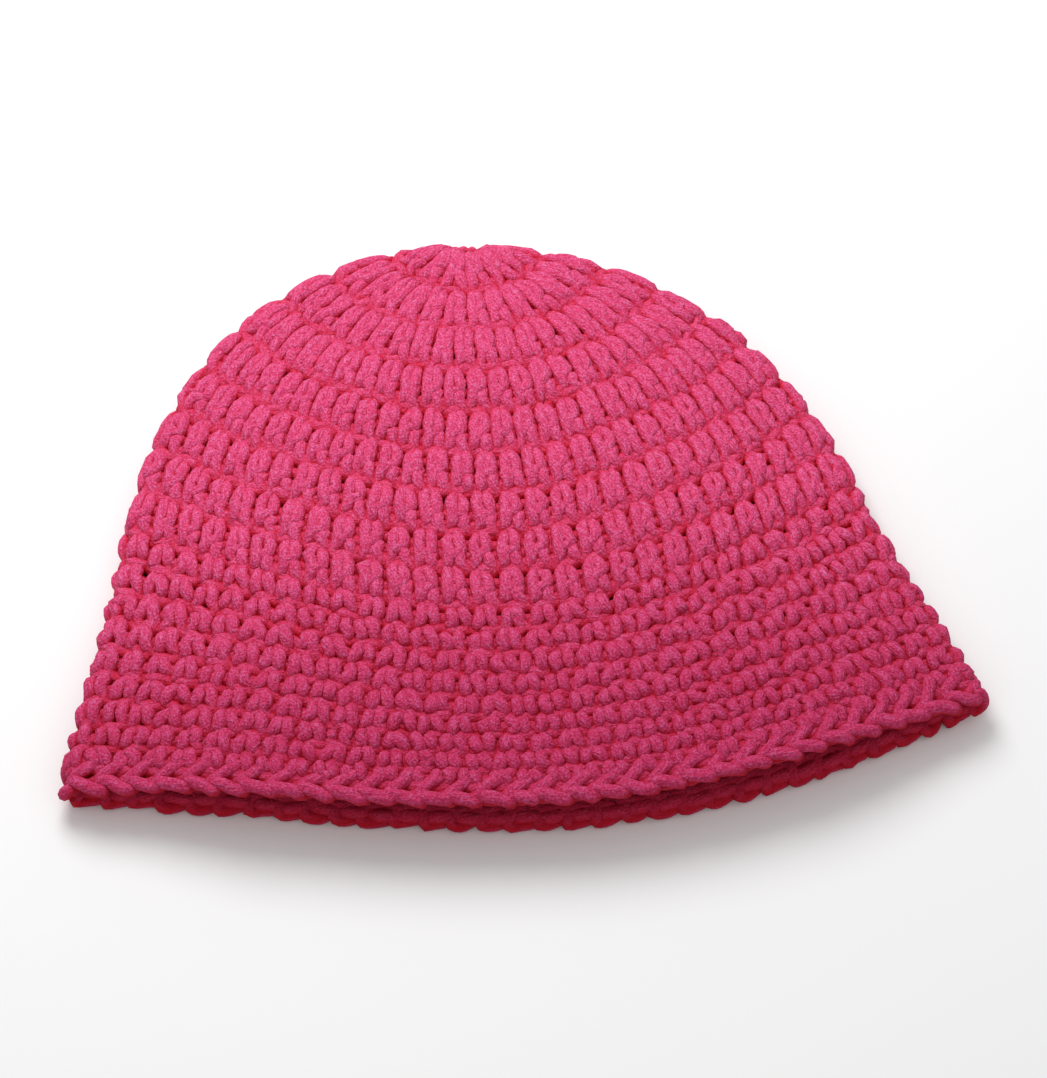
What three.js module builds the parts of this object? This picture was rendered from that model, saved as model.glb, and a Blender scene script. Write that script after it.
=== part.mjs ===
// A crocheted beanie hat, folded flat along its two sides and lying on a table.
//
// The hat is one yarn worked round and round from the crown to the mouth. Each round is a closed
// ring of fabric, and each is its own mesh, in the order in which the hat is crocheted.
//
// Frame: millimetres, +Z up. The hat lies on z = 0, +X is across it, and its mouth faces -Y.
// The origin is the bottom centre of the whole hat's box.
//
// The shape is worked out in two steps. First the upper half of the hat is an open sheet, on which
// each round is a sagging arc from one side to the other. Then the sheet is rolled round its rim
// and mirrored below itself, which gives both layers and the folds that join them.

import * as THREE from 'three';

// The fabric.
const FABRIC_THICKNESS = 6.5;
const FOLD_RADIUS = 4.0; // of the middle of the fabric, where the hat is folded
const ROUND_GAP = 0.3; // clearance between one round and the next

// The rounds, as heights along the fabric's middle line, from the crown to the mouth.
const RING_START = 1.2;
const RING_END = 5.0;
const TALL_ROUNDS = 9;
const TALL_HEIGHT_AT_CROWN = 17.5;
const TALL_HEIGHT_AT_BAND = 12.2;
const BAND_ROUNDS = 9;
const BAND_HEIGHT_AT_TOP = 7.9;
const BAND_HEIGHT_AT_MOUTH = 4.9;
const EDGE_HEIGHT = 5.0;

// The outline of the sheet: a half ellipse for the dome, then two sides that flare to the mouth.
const DOME_HALF_WIDTH = 103;
const DOME_DEPTH = 96;
const FLARE = 0.43; // sideways for each millimetre down
const FLARE_SOFTNESS = 27; // how gently the dome turns into the flare
const MOUTH_TUCK = 4; // how far the sides draw in again at the mouth
const MOUTH_TUCK_POWER = 16;
const FLAT_DEPTH = 1.49; // in hat lengths, the depth at which an arc would no longer sag
const CROWN_ROUNDNESS = 0.57; // of the arcs: 0.5 is an ellipse, and 1 a parabola
const ROUNDNESS_GAIN = 0.75; // from the crown to the mouth
const BEND = 1.8; // sideways, of the hat's middle line halfway down
const CROWN_TURN = THREE.MathUtils.degToRad(-6.4); // the crown lies a little askew to the mouth
const UPPER_SKEW = 0.33; // how much more the mouth sags to the right than to the left
const LOWER_SKEW = 0.43;

// How far the upper layer stands above the fold.
const LIFT_OF_DOME = 9;
const LIFT_OF_MOUTH = 8;
const LIFT_REACH = 62; // distance from the rim at which the lift is complete

// How finely a ring is cut. Its arc has short steps where it turns over the fold.
const TURN_STEPS = 3;
const ARC_STEPS = 7;
const LARGEST_TURN = 0.4; // of half an arc, which limits the turn on the short arcs of the crown

// How finely the sheet is measured.
const RIM_STEP = 1.5;
const RIM_STEPS = 150; // enough to run past the mouth
const ARC_SAMPLES = 240;
const SLOPE_STEP = 0.4;

const tallHeights = taper(TALL_ROUNDS, TALL_HEIGHT_AT_CROWN, TALL_HEIGHT_AT_BAND);
const bandHeights = taper(BAND_ROUNDS, BAND_HEIGHT_AT_TOP, BAND_HEIGHT_AT_MOUTH);
const HAT_LENGTH = RING_END + sum(tallHeights) + sum(bandHeights) + EDGE_HEIGHT;
const ROLL_LENGTH = (Math.PI / 2) * FOLD_RADIUS; // fabric in a quarter turn of the fold
const FOLD_HEIGHT = FABRIC_THICKNESS / 2 + FOLD_RADIUS; // of the fold's centre

function taper(count, first, last) {
  return Array.from({ length: count }, (_, i) => first + ((last - first) * i) / (count - 1));
}

function sum(values) {
  return values.reduce((total, value) => total + value, 0);
}

// The sheet ----------------------------------------------------------------------------------

// Where the arc at this depth meets the rim: half its chord, and how far down that is.
function rimAt(depth) {
  const sag = depth * (1 - depth / (FLAT_DEPTH * HAT_LENGTH)) ** 2;
  const down = depth - sag;
  const above = Math.max(0, DOME_DEPTH - down) / DOME_DEPTH;
  const dome = DOME_HALF_WIDTH * Math.sqrt(Math.max(0, 1 - above * above));
  const flare = FLARE * FLARE_SOFTNESS * Math.log1p(Math.exp((down - DOME_DEPTH) / FLARE_SOFTNESS));
  const tuck = MOUTH_TUCK * Math.min(1, depth / HAT_LENGTH) ** MOUTH_TUCK_POWER;
  return { halfWidth: dome + flare * Math.min(1, down / DOME_DEPTH) - tuck, down, sag };
}

// A point on the arc at this depth, where across runs from 1 at the right side to -1 at the left.
// skew makes its right half sag more than its left, ever more towards the mouth.
function arcPoint(depth, across, skew) {
  const { halfWidth, down, sag } = rimAt(depth);
  const share = depth / HAT_LENGTH;
  const roundness = CROWN_ROUNDNESS + ROUNDNESS_GAIN * share;
  const lean = 1 + skew * across * share ** 3;
  const x = halfWidth * across + BEND * 4 * share * (1 - share);
  const y = -down - sag * lean * Math.max(0, 1 - across * across) ** roundness;
  return new THREE.Vector2(x, y).rotateAround(new THREE.Vector2(), turnAt(depth));
}

function turnAt(depth) {
  return CROWN_TURN * (1 - depth / HAT_LENGTH);
}

// The rim as a chain of points from the crown down one side.
function rimChain(side) {
  const depths = Array.from({ length: RIM_STEPS }, (_, i) => RIM_STEP * i);
  return depths.map((depth) => arcPoint(depth, side, 0));
}

const rim = [...rimChain(-1).reverse(), ...rimChain(1).slice(1)];

// The nearest point of the rim and the direction from it into the sheet.
function nearestOnRim(point) {
  let best = { distance: Infinity };
  for (let i = 0; i + 1 < rim.length; i++) {
    const along = rim[i + 1].clone().sub(rim[i]);
    const t = THREE.MathUtils.clamp(
      point.clone().sub(rim[i]).dot(along) / along.lengthSq(), 0, 1);
    const foot = rim[i].clone().addScaledVector(along, t);
    const distance = foot.distanceTo(point);
    if (distance < best.distance) {
      best = { distance, foot, inward: new THREE.Vector2(along.y, -along.x).normalize() };
    }
  }
  return best;
}

// One arc as a chain of points, with its length.
function arcAt(depth, skew) {
  const points = [];
  for (let i = 0; i <= ARC_SAMPLES; i++) {
    points.push(arcPoint(depth, Math.cos((Math.PI * i) / ARC_SAMPLES), skew));
  }
  const lengths = [0];
  for (let i = 1; i < points.length; i++) {
    lengths.push(lengths[i - 1] + points[i].distanceTo(points[i - 1]));
  }
  return { points, lengths, total: lengths[lengths.length - 1] };
}

function arcsAt(depth) {
  return { upper: arcAt(depth, UPPER_SKEW), lower: arcAt(depth, LOWER_SKEW) };
}

function pointAlong(arc, length) {
  const i = Math.max(1, arc.lengths.findIndex((value) => value >= length));
  const before = arc.lengths[i - 1];
  const t = (length - before) / (arc.lengths[i] - before);
  return arc.points[i - 1].clone().lerp(arc.points[i], t);
}

// The folded hat -----------------------------------------------------------------------------

// Rolls the sheet's rim under. A point nearer to the rim than the roll's quarter turn moves on to
// the roll, and the rest of the sheet stays where it is. layer is 1 for the upper layer of the
// hat and -1 for the lower.
function folded(point, depth, layer) {
  const { distance, foot, inward } = nearestOnRim(point);
  const place = point.clone();
  let angle = Math.PI / 2;
  if (distance < ROLL_LENGTH) {
    angle = distance / FOLD_RADIUS;
    const inset = ROLL_LENGTH - FOLD_RADIUS * Math.cos(angle);
    place.copy(foot).addScaledVector(inward, inset);
  }
  const rise = Math.sin((Math.PI / 2) * Math.min(1, distance / LIFT_REACH)) ** 2;
  const height = THREE.MathUtils.lerp(LIFT_OF_DOME, LIFT_OF_MOUTH, (depth / HAT_LENGTH) ** 3);
  const lift = layer > 0 ? height * rise : 0;
  const z = FOLD_HEIGHT + layer * FOLD_RADIUS * Math.sin(angle) + lift;
  return new THREE.Vector3(place.x, place.y, z);
}

// The fabric's middle, round by round. turn runs from 0 at the right fold over the upper layer to
// 1 at the left fold, and back through the lower layer to 2.
function loopPoint(depth, arcs, turn) {
  const at = ((turn % 2) + 2) % 2;
  if (at <= 1) return folded(pointAlong(arcs.upper, at * arcs.upper.total), depth, 1);
  return folded(pointAlong(arcs.lower, (2 - at) * arcs.lower.total), depth, -1);
}

// Where along an arc a ring is cut, as shares of its length, from one fold nearly to the other.
function cuts(arc) {
  const half = arc.total / 2;
  const roll = Math.min(ROLL_LENGTH, LARGEST_TURN * half);
  const quarter = [];
  for (let i = 0; i < TURN_STEPS; i++) quarter.push((roll * i) / TURN_STEPS);
  for (let i = 0; i < ARC_STEPS; i++) quarter.push(roll + ((half - roll) * i) / ARC_STEPS);
  const rest = [...quarter, half].slice(1).reverse().map((value) => 2 * half - value);
  return [...quarter, ...rest].map((value) => value / arc.total);
}

function section(depth) {
  const [above, here, below] = [-SLOPE_STEP, 0, SLOPE_STEP].map((step) => arcsAt(depth + step));
  const turns = [...cuts(here.upper), ...cuts(here.lower).map((share) => 1 + share)];
  const ahead = SLOPE_STEP / here.upper.total;
  return turns.map((turn) => {
    const onward = loopPoint(depth, here, turn + ahead)
      .sub(loopPoint(depth, here, turn - ahead));
    const down = loopPoint(depth + SLOPE_STEP, below, turn)
      .sub(loopPoint(depth - SLOPE_STEP, above, turn));
    return { middle: loopPoint(depth, here, turn), outward: onward.cross(down).normalize() };
  });
}

// Ring solids --------------------------------------------------------------------------------

// Each profile is a closed chain of [share of the height, share of the thickness] pairs, from
// the crown side over the outer face to the mouth side and back along the inner face.
const ROUNDED = [[0, 0.3], [0.22, 0.5], [0.78, 0.5], [1, 0.3], [1, -0.5], [0, -0.5]];
const PLAIN = [[0, 0.4], [1, 0.4], [1, -0.4], [0, -0.4]];

function ringGeometry(from, to, profile) {
  const start = from + ROUND_GAP / 2;
  const height = to - from - ROUND_GAP;
  const columns = profile.map(([share, out]) => section(start + share * height)
    .map(({ middle, outward }) => middle.addScaledVector(outward, out * FABRIC_THICKNESS)));
  const positions = columns.flat().flatMap((point) => point.toArray());
  const count = columns[0].length;
  const indices = [];
  for (let side = 0; side < columns.length; side++) {
    const next = (side + 1) % columns.length;
    for (let i = 0; i < count; i++) {
      const j = (i + 1) % count;
      const [a, b, c, d] = [side * count + i, next * count + i, next * count + j, side * count + j];
      // The face towards the crown is split like the neighbour's face that it meets.
      if (next === 0) indices.push(a, d, b, b, d, c);
      else indices.push(a, c, b, a, d, c);
    }
  }
  const geometry = new THREE.BufferGeometry();
  geometry.setAttribute('position', new THREE.Float32BufferAttribute(positions, 3));
  geometry.setIndex(indices);
  geometry.computeVertexNormals();
  return geometry;
}

const crownYarn = new THREE.MeshStandardMaterial({ color: 0xd8487f, roughness: 0.9, metalness: 0 });
const bandYarn = new THREE.MeshStandardMaterial({ color: 0xc23a6c, roughness: 0.9, metalness: 0 });
const edgeYarn = new THREE.MeshStandardMaterial({ color: 0xb5325f, roughness: 0.9, metalness: 0 });

function ring(name, from, to, profile, material) {
  const mesh = new THREE.Mesh(ringGeometry(from, to, profile), material);
  mesh.name = name;
  return mesh;
}

const hat = new THREE.Group();
hat.add(ring('crown_ring', RING_START, RING_END, PLAIN, crownYarn));
let depth = RING_END;
tallHeights.forEach((height, i) => {
  hat.add(ring(`tall_round_${i + 1}`, depth, depth + height, ROUNDED, crownYarn));
  depth += height;
});
bandHeights.forEach((height, i) => {
  hat.add(ring(`band_round_${i + 1}`, depth, depth + height, ROUNDED, bandYarn));
  depth += height;
});
hat.add(ring('edge_chain', depth, depth + EDGE_HEIGHT, ROUNDED, edgeYarn));

// Moves the hat so that the middle of its box is over the origin. It already lies on z = 0.
const box = new THREE.Box3().setFromObject(hat);
const centre = box.getCenter(new THREE.Vector3());
hat.position.set(-centre.x, -centre.y, 0);

const part = new THREE.Group();
part.add(hat);
export default part;
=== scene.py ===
"""A crocheted beanie hat, lying folded flat on a table.

Each round of crochet is one loop of yarn. Its path is written once, as a single stitch, then
repeated round the hat and laid on the fabric. The fabric's two layers are one sheet, rolled round
its rim as in the rounds' solids.
"""

import math

import bpy
import numpy as np
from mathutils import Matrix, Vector


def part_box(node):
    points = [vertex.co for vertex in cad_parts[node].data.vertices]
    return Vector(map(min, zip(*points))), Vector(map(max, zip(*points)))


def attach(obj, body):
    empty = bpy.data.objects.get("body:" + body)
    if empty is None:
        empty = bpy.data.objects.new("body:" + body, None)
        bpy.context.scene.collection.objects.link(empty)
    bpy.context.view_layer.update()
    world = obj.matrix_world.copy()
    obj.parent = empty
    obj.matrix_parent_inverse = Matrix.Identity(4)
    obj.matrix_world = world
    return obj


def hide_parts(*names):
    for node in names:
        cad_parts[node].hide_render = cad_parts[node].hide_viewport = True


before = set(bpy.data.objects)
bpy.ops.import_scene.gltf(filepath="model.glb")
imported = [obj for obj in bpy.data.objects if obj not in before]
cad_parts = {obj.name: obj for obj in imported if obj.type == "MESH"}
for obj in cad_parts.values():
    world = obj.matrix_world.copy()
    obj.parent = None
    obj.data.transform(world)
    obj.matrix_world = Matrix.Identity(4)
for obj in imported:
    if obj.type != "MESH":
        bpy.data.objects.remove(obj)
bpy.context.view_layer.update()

MM = 0.001

# The fabric, in millimetres, as the rounds' solids have it.
FABRIC_THICKNESS = 6.5
FOLD_RADIUS = 4.0
RING_END = 5.0
TALL_HEIGHTS = np.linspace(17.5, 12.2, 9)
BAND_HEIGHTS = np.linspace(7.9, 4.9, 9)
EDGE_HEIGHT = 5.0
HAT_LENGTH = RING_END + TALL_HEIGHTS.sum() + BAND_HEIGHTS.sum() + EDGE_HEIGHT
ROLL_LENGTH = math.pi / 2 * FOLD_RADIUS
FOLD_HEIGHT = FABRIC_THICKNESS / 2 + FOLD_RADIUS

# The outline of the sheet: a half ellipse for the dome, then two sides that flare to the mouth.
DOME_HALF_WIDTH = 103
DOME_DEPTH = 96
FLARE = 0.43
FLARE_SOFTNESS = 27
MOUTH_TUCK = 4
MOUTH_TUCK_POWER = 16
FLAT_DEPTH = 1.49  # in hat lengths, the depth at which an arc would no longer sag
CROWN_ROUNDNESS = 0.57  # of the arcs: 0.5 is an ellipse, and 1 a parabola
ROUNDNESS_GAIN = 0.75  # from the crown to the mouth
BEND = 1.8
CROWN_TURN = math.radians(-6.4)
UPPER_SKEW = 0.33
LOWER_SKEW = 0.43

# How far the upper layer stands above the fold.
LIFT_OF_DOME = 9
LIFT_OF_MOUTH = 8
LIFT_REACH = 62

# How finely the sheet is worked out.
RIM_STEP = 1.5
RIM_STEPS = 150
ARC_CUTS = 720
ARC_SAMPLES = 360
DEPTH_STEP = 0.75
DEPTH_MARGIN = 4  # past the mouth, for the edge's lowest loops

# The crown ring's top edge is where the outer face of the fabric turns over the fold, this far
# from the sheet's own end.
CROWN_OVERHANG = 0.32

# The yarn.
YARN_RADIUS = 2.1
EDGE_YARN_RADIUS = 2.0
RING_YARN_RADIUS = 1.6
REACH = FABRIC_THICKNESS / 2 - YARN_RADIUS  # from the fabric's middle to the yarn's, at most
TWIST_LENGTH = 11.0  # of yarn in one whole turn of its plies
PLIES = 3.0
SWELL = 0.05  # how much thicker or thinner it gets, as a share of its radius
SWELL_STEP = 0.25  # how fast that changes from point to point, as an angle
YARN_ROUNDING = 2  # a curve's bevel resolution, which gives the yarn its eight sides
CURVE_STEPS = 8  # between two knots
POINTS_PER_STITCH = 30
POINTS_PER_RING = 160
CORE_KNOTS_PER_STITCH = 4
CORE_POINTS_PER_STITCH = 6


# The sheet -----------------------------------------------------------------------------------


def rim_at(depth):
    """Half the chord of the arc at this depth, how far down its ends are, and its sag."""
    sag = depth * (1 - depth / (FLAT_DEPTH * HAT_LENGTH)) ** 2
    down = depth - sag
    above = max(0.0, DOME_DEPTH - down) / DOME_DEPTH
    dome = DOME_HALF_WIDTH * math.sqrt(max(0.0, 1 - above * above))
    flare = FLARE * FLARE_SOFTNESS * math.log1p(math.exp((down - DOME_DEPTH) / FLARE_SOFTNESS))
    tuck = MOUTH_TUCK * min(1.0, depth / HAT_LENGTH) ** MOUTH_TUCK_POWER
    return dome + flare * min(1.0, down / DOME_DEPTH) - tuck, down, sag


def arc_points(depth, across, skew):
    """Points on the arc at this depth. across runs from 1 at the right side to -1 at the left."""
    half_width, down, sag = rim_at(depth)
    share = depth / HAT_LENGTH
    roundness = CROWN_ROUNDNESS + ROUNDNESS_GAIN * share
    lean = 1 + skew * across * share**3
    x = half_width * across + BEND * 4 * share * (1 - share)
    y = -down - sag * lean * np.maximum(0.0, 1 - across**2) ** roundness
    turn = CROWN_TURN * (1 - share)
    return np.stack([x * math.cos(turn) - y * math.sin(turn),
                     x * math.sin(turn) + y * math.cos(turn)], axis=-1)


def even_arc(depth, skew):
    """The arc at this depth as evenly spaced points."""
    across = np.cos(np.linspace(0, math.pi, ARC_CUTS + 1))
    points = arc_points(depth, across, skew)
    steps = np.linalg.norm(np.diff(points, axis=0), axis=1)
    lengths = np.concatenate([[0.0], np.cumsum(steps)])
    even = np.linspace(0, lengths[-1], ARC_SAMPLES + 1)
    return np.stack([np.interp(even, lengths, points[:, k]) for k in range(2)], axis=-1)


def rim_chain():
    """The rim as a chain of points, from the left end over the crown to the right end."""
    depths = RIM_STEP * np.arange(RIM_STEPS)
    left = [arc_points(d, np.array([-1.0]), 0)[0] for d in depths[::-1]]
    right = [arc_points(d, np.array([1.0]), 0)[0] for d in depths[1:]]
    return np.array(left + right)


RIM = rim_chain()


def nearest_on_rim(points):
    """For each point, its distance to the rim, the nearest point there and the way inwards."""
    start = RIM[:-1]
    along = RIM[1:] - start
    squared = (along**2).sum(axis=1)
    offset = points[:, None, :] - start[None]
    t = np.clip((offset * along).sum(axis=2) / squared, 0, 1)
    feet = start[None] + along[None] * t[..., None]
    distances = np.linalg.norm(points[:, None, :] - feet, axis=2)
    best = distances.argmin(axis=1)
    rows = np.arange(len(points))
    inward = np.stack([along[:, 1], -along[:, 0]], axis=1)
    inward /= np.linalg.norm(inward, axis=1)[:, None]
    return distances[rows, best], feet[rows, best], inward[best]


def folded_layer(depth, layer):
    """The middle of one layer along its arc. layer is 1 for the upper one and -1 for the lower."""
    points = even_arc(depth, UPPER_SKEW if layer > 0 else LOWER_SKEW)
    distance, feet, inward = nearest_on_rim(points)
    rolled = distance < ROLL_LENGTH
    angle = np.where(rolled, distance / FOLD_RADIUS, math.pi / 2)
    inset = ROLL_LENGTH - FOLD_RADIUS * np.cos(angle)
    place = np.where(rolled[:, None], feet + inward * inset[:, None], points)
    z = FOLD_HEIGHT + layer * FOLD_RADIUS * np.sin(angle)
    if layer > 0:
        rise = np.sin(math.pi / 2 * np.minimum(1, distance / LIFT_REACH)) ** 2
        z += rise * (LIFT_OF_DOME + (LIFT_OF_MOUTH - LIFT_OF_DOME) * (depth / HAT_LENGTH) ** 3)
    return np.column_stack([place, z])


class Fabric:
    """The middle surface of the folded hat, with its outward direction.

    A place is a depth from the crown in millimetres and a share of the way round. The share
    runs from the right fold over the upper layer to the left fold and back underneath.
    """

    def __init__(self):
        self.depths = np.arange(DEPTH_STEP, HAT_LENGTH + DEPTH_MARGIN, DEPTH_STEP)
        rows = []
        for depth in self.depths:
            upper, lower = folded_layer(depth, 1), folded_layer(depth, -1)
            rows.append(np.concatenate([upper[:-1], lower[:0:-1]]))
        self.points = np.array(rows)
        ahead = np.roll(self.points, -1, axis=1)
        behind = np.roll(self.points, 1, axis=1)
        onward = ahead - behind
        down = np.gradient(self.points, axis=0)
        outward = np.cross(onward, down)
        self.outward = outward / np.linalg.norm(outward, axis=2)[..., None]
        self.count = self.points.shape[1]

    def move_to(self, crown):
        """Puts the crown's fold at this point of the floor plan."""
        self.points[..., 0] += crown[0]
        self.points[..., 1] += crown[1]

    def lay(self, depth, share, out):
        """Knots at these depths and shares, out millimetres from the fabric's middle.

        A knot is its point, the fabric's outward direction there, and out.
        """
        last = len(self.depths) - 1
        row = np.clip(depth / DEPTH_STEP - 1, 0, last)
        column = (share % 1.0) * self.count
        row_low = np.minimum(row.astype(int), last - 1)
        column_low = column.astype(int) % self.count
        column_high = (column_low + 1) % self.count
        a = (row - row_low)[:, None]
        b = (column - np.floor(column))[:, None]

        def blended(values):
            near = values[row_low, column_low] * (1 - b) + values[row_low, column_high] * b
            far = values[row_low + 1, column_low] * (1 - b) + values[row_low + 1, column_high] * b
            return near * (1 - a) + far * a

        outward = blended(self.outward)
        return np.column_stack([blended(self.points) + outward * out[:, None], outward, out])


ring_low, ring_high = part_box("crown_ring")
crown_x = (ring_low.x + ring_high.x) / 2 / MM
crown_y = ring_high.y / MM - CROWN_OVERHANG

fabric = Fabric()
fabric.move_to((crown_x, crown_y))


# Stitches ------------------------------------------------------------------------------------

# Each stitch is the yarn's way through it, as [along, down, out]: along in stitch widths to the
# right, down in shares of the round's height from the crown side, out from -1 inside to 1 outside.

TALL_STITCH = [
    (-0.50, 0.93, -1.0), (-0.20, 0.98, -1.0), (0.16, 0.97, -0.9), (0.38, 0.92, -0.6),
    (0.18, 0.90, -0.4), (-0.12, 0.91, -0.3), (-0.40, 0.94, -0.6), (-0.32, 0.82, -0.5),
    (-0.22, 0.71, 0.7), (-0.22, 0.54, 1.0), (-0.22, 0.36, 1.0), (-0.21, 0.22, 1.0),
    (-0.15, 0.08, 0.3), (-0.07, -0.06, -0.8), (0.07, -0.06, -0.8), (0.15, 0.08, 0.3),
    (0.21, 0.22, 1.0), (0.22, 0.36, 1.0), (0.18, 0.46, 1.0), (0.00, 0.52, 1.0),
    (-0.20, 0.57, 0.7), (-0.32, 0.58, -0.2), (-0.20, 0.54, -0.9), (0.10, 0.54, -1.0),
    (0.30, 0.54, 0.2), (0.20, 0.60, 1.0), (0.15, 0.72, 0.9), (0.34, 0.86, -0.6),
]

SHORT_STITCH = [
    (-0.50, 0.86, -1.0), (-0.10, 0.92, -1.0), (0.24, 0.90, -0.9), (0.32, 0.68, -0.6),
    (0.24, 0.48, 0.6), (0.23, 0.30, 1.0), (0.19, 0.12, 0.6), (0.08, -0.04, -0.8),
    (-0.08, 0.00, -0.8), (-0.18, 0.20, 0.6), (-0.20, 0.38, 1.0), (-0.22, 0.56, 0.6),
    (-0.32, 0.76, -0.6), (-0.16, 0.86, -0.3), (0.14, 0.88, -0.3), (0.38, 0.84, -0.8),
]

EDGE_STITCH = [
    (-0.50, 0.34, 0.0), (-0.20, 0.04, 0.7), (0.20, -0.36, 0.8), (0.50, -0.60, 0.2),
    (0.48, -0.10, -0.8), (0.62, 0.58, -0.6), (0.58, 0.74, 0.2), (0.26, 0.64, 0.9),
    (-0.14, 0.46, 0.9), (-0.44, 0.32, 0.2), (-0.30, 0.36, -1.0), (0.20, 0.40, -1.0),
]

# The strands that run on behind the stitches, as [down, out].
TALL_CORES = [(0.26, -0.6), (0.52, -0.6), (0.74, -0.6)]
SHORT_CORES = [(0.40, -0.6)]

# Stitches in each round, from the crown to the mouth.
TALL_COUNTS = [14, 28, 40, 48, 54, 56, 56, 56, 57]
BAND_COUNTS = [58, 59, 60, 61, 62, 63, 64, 65, 66]
EDGE_COUNT = 66

# How far each round's stitches sit to one side of the round before, in stitches.
TALL_DRIFT = 0.3
BAND_DRIFT = 0.45

# How unlike each other the stitches are. Looseness is of each knot, the rest of a whole stitch.
TALL_LOOSENESS = 0.04
BAND_LOOSENESS = 0.06
EDGE_LOOSENESS = 0.05
LOOSE_OUTWARDS = 3.0  # times as loose outwards as along and down
STITCH_SHIFT = 0.02
STITCH_LEAN = 0.05
LEAN_CENTRE = 0.4
CORE_WAVER = 0.03

# The ring of yarn at the crown, which waves from side to side as it goes round.
RING_DEPTH = 3.1
RING_WAVES = 7
RING_WAVE_DOWN = 0.5
RING_WAVE_OUT = 0.6
RING_KNOTS = 40

SEED = 7
rng = np.random.default_rng(SEED)


def closed_curve(knots, count):
    """Even knots on a smooth closed curve through the given ones, and the curve's length."""
    before, after = np.roll(knots, 1, axis=0), np.roll(knots, -1, axis=0)
    beyond = np.roll(knots, -2, axis=0)
    t = np.linspace(0, 1, CURVE_STEPS, endpoint=False)[:, None]
    pieces = []
    for p0, p1, p2, p3 in zip(before, knots, after, beyond):
        pieces.append(0.5 * (2 * p1 + (p2 - p0) * t + (2 * p0 - 5 * p1 + 4 * p2 - p3) * t**2
                             + (3 * p1 - p0 - 3 * p2 + p3) * t**3))
    line = np.concatenate(pieces)
    line = np.concatenate([line, line[:1]])
    steps = np.linalg.norm(np.diff(line[:, :3], axis=0), axis=1)
    lengths = np.concatenate([[0.0], np.cumsum(steps)])
    even = np.linspace(0, lengths[-1], count, endpoint=False)
    dense = np.stack([np.interp(even, lengths, column) for column in line.T], axis=-1)
    return dense, lengths[-1]


def stitch_knots(stitch, count, start, height, phase, looseness):
    """The knots of a whole round, laid on the fabric."""
    stitch = np.array(stitch)
    spread = (1.0, 1.0, LOOSE_OUTWARDS)
    along, down, out = [], [], []
    for slot in range(count):
        shape = stitch + rng.normal(0, looseness, stitch.shape) * spread
        shift = rng.normal(0, STITCH_SHIFT)
        lean = rng.normal(0, STITCH_LEAN)
        along.append(slot + shape[:, 0] + lean * (shape[:, 1] - LEAN_CENTRE))
        down.append(shape[:, 1] + shift)
        out.append(np.clip(shape[:, 2], -1.0, 1.0))
    along, down, out = (np.concatenate(part) for part in (along, down, out))
    return fabric.lay(start + down * height, phase - along / count, out * REACH)


def draw_strand(curve, points, radius):
    """Adds a closed strand to the curve. Its thickness swells and thins a little on the way."""
    spline = curve.splines.new("POLY")
    spline.points.add(len(points) - 1)
    flat = np.column_stack([points * MM, np.ones(len(points))])
    spline.points.foreach_set("co", flat.ravel())
    swell = 1 + SWELL * np.sin(np.cumsum(rng.normal(0, SWELL_STEP, len(points))))
    spline.points.foreach_set("radius", swell * radius / YARN_RADIUS)
    spline.use_cyclic_u = True


def yarn_loops(name, strands, material, radius=YARN_RADIUS):
    """Closed loops of yarn as one mesh. Each strand is its knots and how many points it gets."""
    curve = bpy.data.curves.new(name, "CURVE")
    curve.dimensions = "3D"
    curve.bevel_depth = YARN_RADIUS * MM
    curve.bevel_resolution = YARN_ROUNDING
    curve.use_fill_caps = False
    curve.twist_mode = "MINIMUM"
    dense, turns = [], []
    for knots, count in strands:
        line, length = closed_curve(knots, count)
        draw_strand(curve, line[:, :3], radius)
        dense.append(line)
        turns.append(np.full(count, round(length / TWIST_LENGTH)))
    drawn = bpy.data.objects.new(name + "_line", curve)
    bpy.context.scene.collection.objects.link(drawn)
    bpy.context.view_layer.update()
    evaluated = drawn.evaluated_get(bpy.context.evaluated_depsgraph_get())
    mesh = bpy.data.meshes.new_from_object(evaluated)
    bpy.data.objects.remove(drawn)
    bpy.data.curves.remove(curve)
    mesh.name = name
    for polygon in mesh.polygons:
        polygon.use_smooth = True
    mesh.materials.clear()
    mesh.materials.append(material)
    scale_uv(mesh, np.concatenate(turns))
    mark_proud(mesh, np.concatenate(dense))
    piece = bpy.data.objects.new(name, mesh)
    bpy.context.scene.collection.objects.link(piece)
    return piece


def scale_uv(mesh, turns):
    """Stretches the UV map so that one unit along the yarn is one turn of its plies.

    turns has an entry for each ring of faces, with the turns in its whole strand.
    """
    layer = mesh.uv_layers.active
    values = np.zeros(len(layer.data) * 2, np.float32)
    layer.data.foreach_get("uv", values)
    rings = values.reshape(len(turns), -1, 2)
    rings[..., 0] *= turns[:, None]
    layer.data.foreach_set("uv", values)


def mark_proud(mesh, dense):
    """Notes how far out each vertex is: 1 on the fabric's outer face, -1 on its inner one."""
    places = np.zeros(len(mesh.vertices) * 3, np.float32)
    mesh.vertices.foreach_get("co", places)
    rings = places.reshape(len(dense), -1, 3) / MM
    away = ((rings - dense[:, None, :3]) * dense[:, None, 3:6]).sum(axis=2)
    proud = (dense[:, None, 6] + away) / (FABRIC_THICKNESS / 2)
    attribute = mesh.attributes.new("proud", "FLOAT", "POINT")
    attribute.data.foreach_set("value", proud.astype(np.float32).ravel())


# Materials -----------------------------------------------------------------------------------


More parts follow.
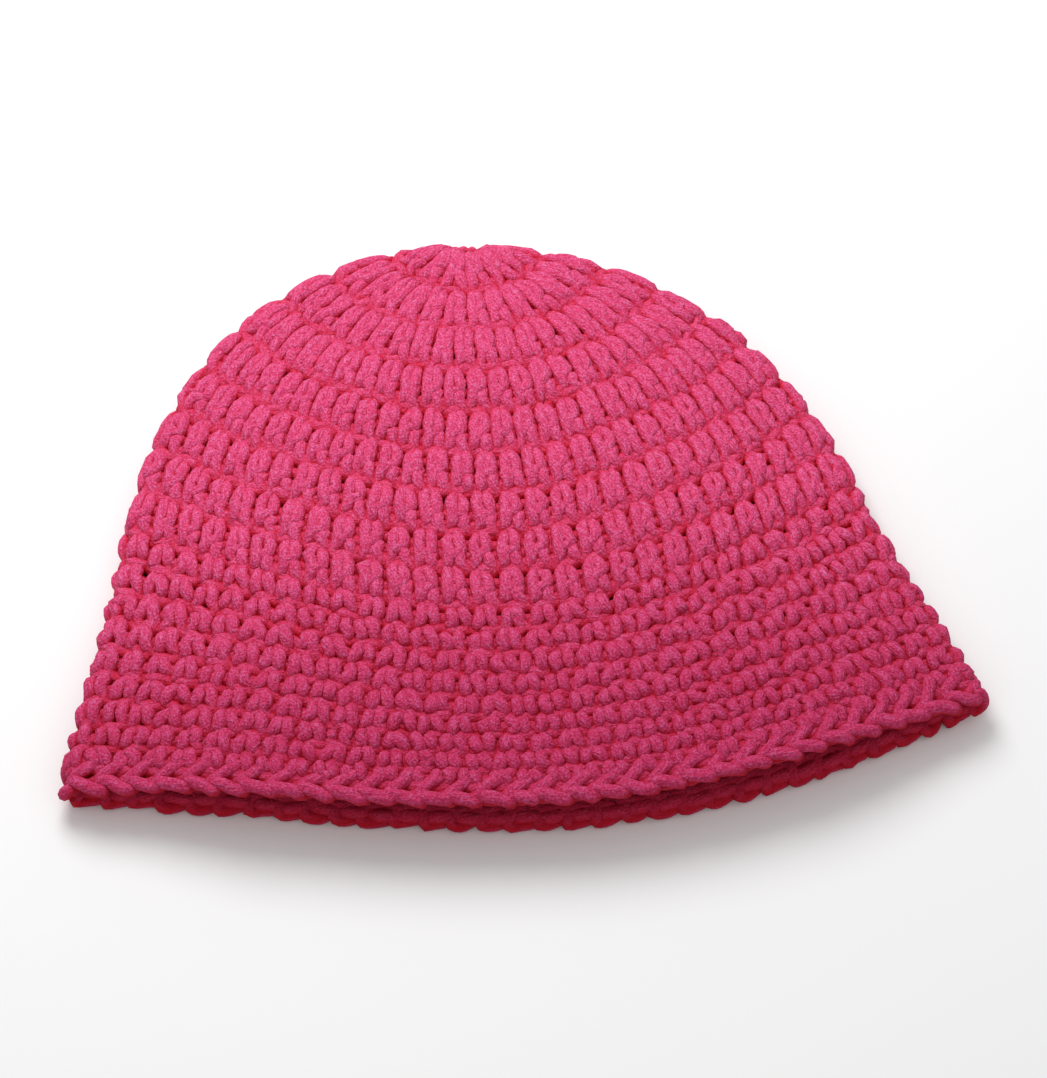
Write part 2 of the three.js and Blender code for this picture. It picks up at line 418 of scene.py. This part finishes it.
def math_node(tree, operation, *inputs):
    """A math node. Each input is a number or the socket that feeds it."""
    node = tree.nodes.new("ShaderNodeMath")
    node.operation = operation
    for socket, value in zip(node.inputs, inputs):
        if isinstance(value, (int, float)):
            socket.default_value = value
        else:
            tree.links.new(value, socket)
    return node.outputs[0]


def colour_ramp(tree, factor, stops):
    """A ramp through (position, colour) stops."""
    node = tree.nodes.new("ShaderNodeValToRGB")
    elements = node.color_ramp.elements
    while len(elements) < len(stops):
        elements.new(0.5)
    for element, (position, colour) in zip(elements, stops):
        element.position = position
        element.color = (*colour, 1)
    tree.links.new(factor, node.inputs["Fac"])
    return node.outputs["Color"]


def map_range(tree, value, from_low, from_high, to_low, to_high, smooth=False):
    """A clamped change of range, eased at both ends if smooth."""
    node = tree.nodes.new("ShaderNodeMapRange")
    node.interpolation_type = "SMOOTHSTEP" if smooth else "LINEAR"
    for name, number in (("From Min", from_low), ("From Max", from_high),
                         ("To Min", to_low), ("To Max", to_high)):
        node.inputs[name].default_value = number
    tree.links.new(value, node.inputs["Value"])
    return node.outputs[0]


def mix_colours(tree, factor, first, second, blend="MIX"):
    """Two colours blended. Each input is a constant or the socket that feeds it."""
    node = tree.nodes.new("ShaderNodeMix")
    node.data_type = "RGBA"
    node.blend_type = blend
    for socket, value in ((node.inputs[0], factor), (node.inputs[6], first),
                          (node.inputs[7], second)):
        if isinstance(value, tuple):
            socket.default_value = (*value, 1)
        else:
            tree.links.new(value, socket)
    return node.outputs[2]


def noise(tree, vector, scale, detail):
    """A noise texture's value."""
    node = tree.nodes.new("ShaderNodeTexNoise")
    node.inputs["Scale"].default_value = scale
    node.inputs["Detail"].default_value = detail
    tree.links.new(vector, node.inputs["Vector"])
    return node.outputs["Fac"]


# The hollow colour below is painted shade: the deep red the yarn gets between the stitches, where
# shade falls.
PAINTED_HOLLOW_SHADE = (0.64, 0.012, 0.034)
DARK_PINK = (0.60, 0.036, 0.12)
YARN_PINK = (0.78, 0.068, 0.20)
PALE_PINK = (0.83, 0.19, 0.41)
PAINTED_MOUTH_SHADE = (0.76, 0.56, 0.66)  # painted shade: the share of its colour on the dome that the yarn keeps at the mouth, where less light falls

YARN_ROUGHNESS = 0.85
YARN_SHEEN = 0.12

# The yarn's grain is its long fibres, and the fine fuzz on them.
FIBRES_ACROSS = 9.0
FIBRES_ALONG = 3.5
FIBRE_DETAIL = 3
FUZZ_SCALE = 1500
FUZZ_DETAIL = 2
FUZZ_SHARE = 0.6
GRAIN_COLOURS = [(0.38, DARK_PINK), (0.5, YARN_PINK), (0.65, PALE_PINK)]

# Where the yarn goes from painted hollow shade, a deep red, to its own colour: by how proud of the
# fabric it is, from a middle level to each face, and by how open the space round it is.
HOLLOW_LEVEL = -0.1
OUTER_LEVEL = 0.75
INNER_LEVEL = -0.9
INNER_LIGHT = 0.35  # how much of its own colour it keeps through the painted shade on the hat's inner face
HOLLOW_REACH = 0.004  # how far away a strand still hems another in
HEMMED_IN = 0.15
OPEN = 0.7
SHADOW_SAMPLES = 6

SHADE_START = 0.01  # where the painted shade of the mouth starts to darken the yarn, along Y
SHADE_END = -0.09

PLY_RELIEF = 0.5
GRAIN_RELIEF = 2.2
RELIEF_STRENGTH = 0.75
RELIEF_HEIGHT = 0.0008


def yarn_grain(tree, place):
    """The ridges of the plies and the grain of the fibres, each as a socket."""
    split = tree.nodes.new("ShaderNodeSeparateXYZ")
    tree.links.new(place.outputs["UV"], split.inputs[0])
    along = split.outputs["X"]
    across = math_node(tree, "MULTIPLY_ADD", split.outputs["Y"], PLIES, along)
    wave = math_node(tree, "SINE", math_node(tree, "MULTIPLY", across, math.pi))
    ridge = math_node(tree, "ABSOLUTE", wave)

    # Fibres run along the plies, much longer than they are wide.
    weave = tree.nodes.new("ShaderNodeCombineXYZ")
    tree.links.new(math_node(tree, "MULTIPLY", across, FIBRES_ACROSS), weave.inputs["X"])
    tree.links.new(math_node(tree, "MULTIPLY", along, FIBRES_ALONG), weave.inputs["Y"])
    fibres = noise(tree, weave.outputs[0], 1, FIBRE_DETAIL)
    fuzz = noise(tree, place.outputs["Object"], FUZZ_SCALE, FUZZ_DETAIL)
    grain = math_node(tree, "MULTIPLY_ADD", fibres, 1 - FUZZ_SHARE,
                      math_node(tree, "MULTIPLY", fuzz, FUZZ_SHARE))
    return ridge, grain


def painted_hollow_light(tree):
    """How much of its own colour the yarn shows through the painted hollow shade: 0 in a hollow
    and 1 out in the open.

    The painted shade, a deep red, stands in for the light that reaches the hollows after bouncing
    between strands and coming back redder.
    """
    proud = tree.nodes.new("ShaderNodeAttribute")
    proud.attribute_name = "proud"
    level = proud.outputs["Fac"]
    outer = map_range(tree, level, HOLLOW_LEVEL, OUTER_LEVEL, 0, 1, True)
    inner = map_range(tree, level, HOLLOW_LEVEL, INNER_LEVEL, 0, INNER_LIGHT, True)
    shadow = tree.nodes.new("ShaderNodeAmbientOcclusion")
    shadow.samples = SHADOW_SAMPLES
    shadow.inputs["Distance"].default_value = HOLLOW_REACH
    clear = map_range(tree, shadow.outputs["AO"], HEMMED_IN, OPEN, 0, 1)
    return math_node(tree, "MULTIPLY", math_node(tree, "ADD", outer, inner), clear)


def yarn_material(name):
    """Bulky acrylic yarn of three plies, with painted shade: deep red where it goes down between
    the stitches, and darker towards the mouth.
    """
    material = bpy.data.materials.new(name)
    material.use_nodes = True
    tree = material.node_tree
    shader = tree.nodes["Principled BSDF"]
    shader.inputs["Roughness"].default_value = YARN_ROUGHNESS
    shader.inputs["Specular IOR Level"].default_value = YARN_SHEEN

    place = tree.nodes.new("ShaderNodeTexCoord")
    ridge, grain = yarn_grain(tree, place)
    surface = colour_ramp(tree, grain, GRAIN_COLOURS)
    # Painted shade: deep red in the hollows between the stitches.
    hollow_shaded = mix_colours(tree, painted_hollow_light(tree), PAINTED_HOLLOW_SHADE, surface)

    # Painted shade: the yarn is darker towards the mouth, along Y, where less light falls.
    floor_plan = tree.nodes.new("ShaderNodeSeparateXYZ")
    tree.links.new(place.outputs["Object"], floor_plan.inputs[0])
    shade = map_range(tree, floor_plan.outputs["Y"], SHADE_START, SHADE_END, 0, 1, True)
    mouth_shaded = mix_colours(tree, shade, hollow_shaded, PAINTED_MOUTH_SHADE, "MULTIPLY")
    tree.links.new(mouth_shaded, shader.inputs["Base Color"])

    relief = math_node(tree, "MULTIPLY_ADD", grain, GRAIN_RELIEF,
                       math_node(tree, "MULTIPLY", ridge, PLY_RELIEF))
    bump = tree.nodes.new("ShaderNodeBump")
    bump.inputs["Strength"].default_value = RELIEF_STRENGTH
    bump.inputs["Distance"].default_value = RELIEF_HEIGHT
    tree.links.new(relief, bump.inputs["Height"])
    tree.links.new(bump.outputs["Normal"], shader.inputs["Normal"])
    return material


crown_yarn = yarn_material("pink_yarn_of_dome")
band_yarn = yarn_material("pink_yarn_of_band")


# The rounds ----------------------------------------------------------------------------------


def core_strand(count, start, height, share, out):
    """A strand that runs on behind the stitches, which closes the fabric between them."""
    turn = np.linspace(0, 1, CORE_KNOTS_PER_STITCH * count, endpoint=False)
    down = share + rng.normal(0, CORE_WAVER, len(turn))
    knots = fabric.lay(start + down * height, turn, np.full(len(turn), out * REACH))
    return knots, CORE_POINTS_PER_STITCH * count


def add_round(node, stitch, count, start, height, phase, material, looseness, cores=(),
              radius=YARN_RADIUS):
    """One round of crochet, in place of the node of the same name."""
    knots = stitch_knots(stitch, count, start, height, phase, looseness)
    strands = [(knots, count * POINTS_PER_STITCH)]
    strands += [core_strand(count, start, height, share, out) for share, out in cores]
    piece = yarn_loops(f"yarn_{node}", strands, material, radius)
    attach(piece, "root")
    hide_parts(node)


def add_crown_ring():
    """The ring of yarn that closes the crown."""
    turn = np.linspace(0, 2 * math.pi, RING_KNOTS, endpoint=False)
    depth = RING_DEPTH + RING_WAVE_DOWN * np.sin(RING_WAVES * turn)
    out = RING_WAVE_OUT * np.cos(RING_WAVES * turn)
    knots = fabric.lay(depth, turn / (2 * math.pi), out)
    piece = yarn_loops("yarn_crown_ring", [(knots, POINTS_PER_RING)], crown_yarn,
                       RING_YARN_RADIUS)
    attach(piece, "root")
    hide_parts("crown_ring")


def add_rounds():
    """All the hat's rounds, from the crown to the mouth."""
    add_crown_ring()
    start, phase = RING_END, 0.0
    for i, (count, height) in enumerate(zip(TALL_COUNTS, TALL_HEIGHTS)):
        add_round(f"tall_round_{i + 1}", TALL_STITCH, count, start, height, phase,
                  crown_yarn, TALL_LOOSENESS, TALL_CORES)
        start += height
        phase += TALL_DRIFT / count
    for i, (count, height) in enumerate(zip(BAND_COUNTS, BAND_HEIGHTS)):
        add_round(f"band_round_{i + 1}", SHORT_STITCH, count, start, height, phase,
                  band_yarn, BAND_LOOSENESS, SHORT_CORES)
        start += height
        phase += BAND_DRIFT / count
    add_round("edge_chain", EDGE_STITCH, EDGE_COUNT, start, EDGE_HEIGHT, phase,
              band_yarn, EDGE_LOOSENESS, radius=EDGE_YARN_RADIUS)


add_rounds()


# The stage -----------------------------------------------------------------------------------

TABLE_SIZE = 6
TABLE_WHITE = (0.92, 0.92, 0.92, 1)
TABLE_ROUGHNESS = 0.9

# The room is brighter overhead than at the level of the table.
ROOM_LIGHT_LOW = 0.15
ROOM_LIGHT_HIGH = 0.75
ROOM_LIGHT_REACH = 0.9

WINDOW_PLACE = Vector((-0.15, 0.45, 0.65))
WINDOW_TARGET = Vector((0, 0.05, 0))
WINDOW_SIZE = 0.5
WINDOW_POWER = 4.5

CAMERA_AZIMUTH = math.radians(-6.47)
CAMERA_ELEVATION = math.radians(60)
CAMERA_DISTANCE = 0.9
CAMERA_TARGET = Vector((0.0071, -0.0033, 0))
CAMERA_LENS = 98.95
CAMERA_SENSOR = 36


def add_table():
    bpy.ops.mesh.primitive_plane_add(size=TABLE_SIZE, location=(0, 0, 0))
    table = bpy.context.object
    table.name = "studio_floor"
    material = bpy.data.materials.new("white_paper")
    material.use_nodes = True
    shader = material.node_tree.nodes["Principled BSDF"]
    shader.inputs["Base Color"].default_value = TABLE_WHITE
    shader.inputs["Roughness"].default_value = TABLE_ROUGHNESS
    table.data.materials.append(material)


def add_room():
    world = bpy.data.worlds.new("soft_room")
    bpy.context.scene.world = world
    world.use_nodes = True
    tree = world.node_tree
    background = tree.nodes["Background"]
    background.inputs["Color"].default_value = (1, 1, 1, 1)
    place = tree.nodes.new("ShaderNodeTexCoord")
    split = tree.nodes.new("ShaderNodeSeparateXYZ")
    tree.links.new(place.outputs["Generated"], split.inputs[0])
    strength = map_range(tree, split.outputs["Z"], 0, ROOM_LIGHT_REACH, ROOM_LIGHT_LOW,
                         ROOM_LIGHT_HIGH, True)
    tree.links.new(strength, background.inputs["Strength"])
    bpy.context.scene.view_settings.view_transform = "Standard"


def add_window():
    data = bpy.data.lights.new("window_above", "AREA")
    data.shape = "DISK"
    data.size = WINDOW_SIZE
    data.energy = WINDOW_POWER
    lamp = bpy.data.objects.new("window_above", data)
    bpy.context.scene.collection.objects.link(lamp)
    lamp.location = WINDOW_PLACE
    lamp.rotation_euler = (WINDOW_TARGET - WINDOW_PLACE).to_track_quat("-Z", "Y").to_euler()


def add_camera():
    level = math.cos(CAMERA_ELEVATION)
    back = Vector((math.sin(CAMERA_AZIMUTH) * level, -math.cos(CAMERA_AZIMUTH) * level,
                   math.sin(CAMERA_ELEVATION)))
    data = bpy.data.cameras.new("camera")
    data.lens = CAMERA_LENS
    data.sensor_width = CAMERA_SENSOR
    camera = bpy.data.objects.new("camera", data)
    bpy.context.scene.collection.objects.link(camera)
    camera.location = CAMERA_TARGET + back * CAMERA_DISTANCE
    camera.rotation_euler = (-back).to_track_quat("-Z", "Y").to_euler()
    bpy.context.scene.camera = camera


add_table()
add_room()
add_window()
add_camera()
